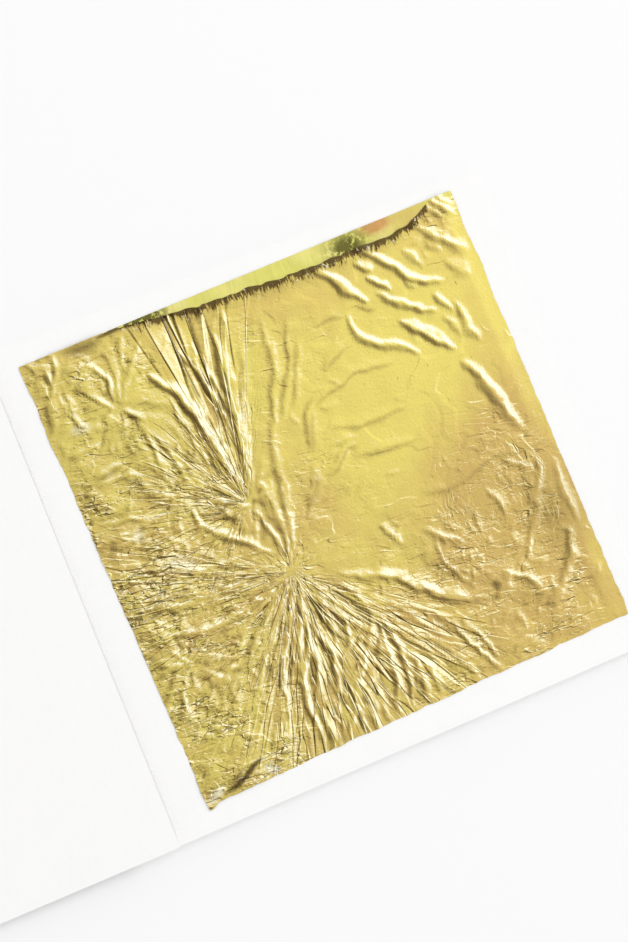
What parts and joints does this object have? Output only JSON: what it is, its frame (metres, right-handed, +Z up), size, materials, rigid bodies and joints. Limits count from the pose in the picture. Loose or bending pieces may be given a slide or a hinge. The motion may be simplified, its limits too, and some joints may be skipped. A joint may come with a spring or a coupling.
{
  "type": "gold leaf booklet",
  "caption": "Booklet of square gold leaves between white tissue pages, side-stapled in a folded card cover and lying open at its first, crinkled leaf.",
  "frame": {"origin": "foot of the crease, midway along the spine, on the back cover's underside", "axes": "+X from the crease to the fore-edge of the open stack, +Y along the spine to the head, +Z up off the table"},
  "size_m": [0.18, 0.088, 0.0028],
  "materials": {
    "gold_leaf": "satin",
    "tissue": "matte",
    "cover_card": "matte",
    "staple_wire": "satin"
  },
  "bodies": {
    "booklet": {"cover_wrap": "cover_card", "tissue_stubs": "tissue", "staple_head": "staple_wire", "staple_foot": "staple_wire"},
    "front_flap": {"front_cover": "cover_card"},
    "page_01": {"tissue_01": "tissue"},
    "page_02": {"tissue_02": "tissue"},
    "page_26": {"tissue_26": "tissue", "leaf_25": "gold_leaf"},
    "page_25": {"tissue_25": "tissue", "leaf_24": "gold_leaf"},
    "page_24": {"tissue_24": "tissue", "leaf_23": "gold_leaf"},
    "page_23": {"tissue_23": "tissue", "leaf_22": "gold_leaf"},
    "page_22": {"tissue_22": "tissue", "leaf_21": "gold_leaf"},
    "page_21": {"tissue_21": "tissue", "leaf_20": "gold_leaf"},
    "page_20": {"tissue_20": "tissue", "leaf_19": "gold_leaf"},
    "page_19": {"tissue_19": "tissue", "leaf_18": "gold_leaf"},
    "page_18": {"tissue_18": "tissue", "leaf_17": "gold_leaf"},
    "page_17": {"tissue_17": "tissue", "leaf_16": "gold_leaf"},
    "page_16": {"tissue_16": "tissue", "leaf_15": "gold_leaf"},
    "page_15": {"tissue_15": "tissue", "leaf_14": "gold_leaf"},
    "page_14": {"tissue_14": "tissue", "leaf_13": "gold_leaf"},
    "page_13": {"tissue_13": "tissue", "leaf_12": "gold_leaf"},
    "page_12": {"tissue_12": "tissue", "leaf_11": "gold_leaf"},
    "page_11": {"tissue_11": "tissue", "leaf_10": "gold_leaf"},
    "page_10": {"tissue_10": "tissue", "leaf_09": "gold_leaf"},
    "page_09": {"tissue_09": "tissue", "leaf_08": "gold_leaf"},
    "page_08": {"tissue_08": "tissue", "leaf_07": "gold_leaf"},
    "page_07": {"tissue_07": "tissue", "leaf_06": "gold_leaf"},
    "page_06": {"tissue_06": "tissue", "leaf_05": "gold_leaf"},
    "page_05": {"tissue_05": "tissue", "leaf_04": "gold_leaf"},
    "page_04": {"tissue_04": "tissue", "leaf_03": "gold_leaf"},
    "page_03": {"tissue_03": "tissue"},
    "second_leaf": {"leaf_02": "gold_leaf"},
    "top_leaf": {"leaf_01": "gold_leaf"}
  },
  "joints": [
    {"name": "flap_turn", "type": "hinge", "parent": "booklet", "child": "front_flap", "pos_m": [0, 0, 0.0028], "axis": [0, 1, 0], "range_deg": [0, 181.57]},
    {"name": "page_01_turn", "type": "hinge", "parent": "front_flap", "child": "page_01", "pos_m": [0, 0, 0.0028], "axis": [0, 1, 0], "range_deg": [0, 180]},
    {"name": "page_02_turn", "type": "hinge", "parent": "page_01", "child": "page_02", "pos_m": [0, 0, 0.0028], "axis": [0, 1, 0], "range_deg": [0, 180]},
    {"name": "page_26_turn", "type": "hinge", "parent": "booklet", "child": "page_26", "pos_m": [0, 0, 0.0028], "axis": [0, -1, 0], "range_deg": [0, 180]},
    {"name": "page_25_turn", "type": "hinge", "parent": "page_26", "child": "page_25", "pos_m": [0, 0, 0.0028], "axis": [0, -1, 0], "range_deg": [0, 180]},
    {"name": "page_24_turn", "type": "hinge", "parent": "page_25", "child": "page_24", "pos_m": [0, 0, 0.0028], "axis": [0, -1, 0], "range_deg": [0, 180]},
    {"name": "page_23_turn", "type": "hinge", "parent": "page_24", "child": "page_23", "pos_m": [0, 0, 0.0028], "axis": [0, -1, 0], "range_deg": [0, 180]},
    {"name": "page_22_turn", "type": "hinge", "parent": "page_23", "child": "page_22", "pos_m": [0, 0, 0.0028], "axis": [0, -1, 0], "range_deg": [0, 180]},
    {"name": "page_21_turn", "type": "hinge", "parent": "page_22", "child": "page_21", "pos_m": [0, 0, 0.0028], "axis": [0, -1, 0], "range_deg": [0, 180]},
    {"name": "page_20_turn", "type": "hinge", "parent": "page_21", "child": "page_20", "pos_m": [0, 0, 0.0028], "axis": [0, -1, 0], "range_deg": [0, 180]},
    {"name": "page_19_turn", "type": "hinge", "parent": "page_20", "child": "page_19", "pos_m": [0, 0, 0.0028], "axis": [0, -1, 0], "range_deg": [0, 180]},
    {"name": "page_18_turn", "type": "hinge", "parent": "page_19", "child": "page_18", "pos_m": [0, 0, 0.0028], "axis": [0, -1, 0], "range_deg": [0, 180]},
    {"name": "page_17_turn", "type": "hinge", "parent": "page_18", "child": "page_17", "pos_m": [0, 0, 0.0028], "axis": [0, -1, 0], "range_deg": [0, 180]},
    {"name": "page_16_turn", "type": "hinge", "parent": "page_17", "child": "page_16", "pos_m": [0, 0, 0.0028], "axis": [0, -1, 0], "range_deg": [0, 180]},
    {"name": "page_15_turn", "type": "hinge", "parent": "page_16", "child": "page_15", "pos_m": [0, 0, 0.0028], "axis": [0, -1, 0], "range_deg": [0, 180]},
    {"name": "page_14_turn", "type": "hinge", "parent": "page_15", "child": "page_14", "pos_m": [0, 0, 0.0028], "axis": [0, -1, 0], "range_deg": [0, 180]},
    {"name": "page_13_turn", "type": "hinge", "parent": "page_14", "child": "page_13", "pos_m": [0, 0, 0.0028], "axis": [0, -1, 0], "range_deg": [0, 180]},
    {"name": "page_12_turn", "type": "hinge", "parent": "page_13", "child": "page_12", "pos_m": [0, 0, 0.0028], "axis": [0, -1, 0], "range_deg": [0, 180]},
    {"name": "page_11_turn", "type": "hinge", "parent": "page_12", "child": "page_11", "pos_m": [0, 0, 0.0028], "axis": [0, -1, 0], "range_deg": [0, 180]},
    {"name": "page_10_turn", "type": "hinge", "parent": "page_11", "child": "page_10", "pos_m": [0, 0, 0.0028], "axis": [0, -1, 0], "range_deg": [0, 180]},
    {"name": "page_09_turn", "type": "hinge", "parent": "page_10", "child": "page_09", "pos_m": [0, 0, 0.0028], "axis": [0, -1, 0], "range_deg": [0, 180]},
    {"name": "page_08_turn", "type": "hinge", "parent": "page_09", "child": "page_08", "pos_m": [0, 0, 0.0028], "axis": [0, -1, 0], "range_deg": [0, 180]},
    {"name": "page_07_turn", "type": "hinge", "parent": "page_08", "child": "page_07", "pos_m": [0, 0, 0.0028], "axis": [0, -1, 0], "range_deg": [0, 180]},
    {"name": "page_06_turn", "type": "hinge", "parent": "page_07", "child": "page_06", "pos_m": [0, 0, 0.0028], "axis": [0, -1, 0], "range_deg": [0, 180]},
    {"name": "page_05_turn", "type": "hinge", "parent": "page_06", "child": "page_05", "pos_m": [0, 0, 0.0028], "axis": [0, -1, 0], "range_deg": [0, 180]},
    {"name": "page_04_turn", "type": "hinge", "parent": "page_05", "child": "page_04", "pos_m": [0, 0, 0.0028], "axis": [0, -1, 0], "range_deg": [0, 180]},
    {"name": "page_03_turn", "type": "hinge", "parent": "page_04", "child": "page_03", "pos_m": [0, 0, 0.0028], "axis": [0, -1, 0], "range_deg": [0, 180]},
    {"name": "second_leaf_lift", "type": "slide", "parent": "page_03", "child": "second_leaf", "axis": [0, 0, 1], "range_m": [0, 0.05]},
    {"name": "top_leaf_lift", "type": "slide", "parent": "second_leaf", "child": "top_leaf", "axis": [0, 0, 1], "range_m": [0, 0.05]}
  ]
}
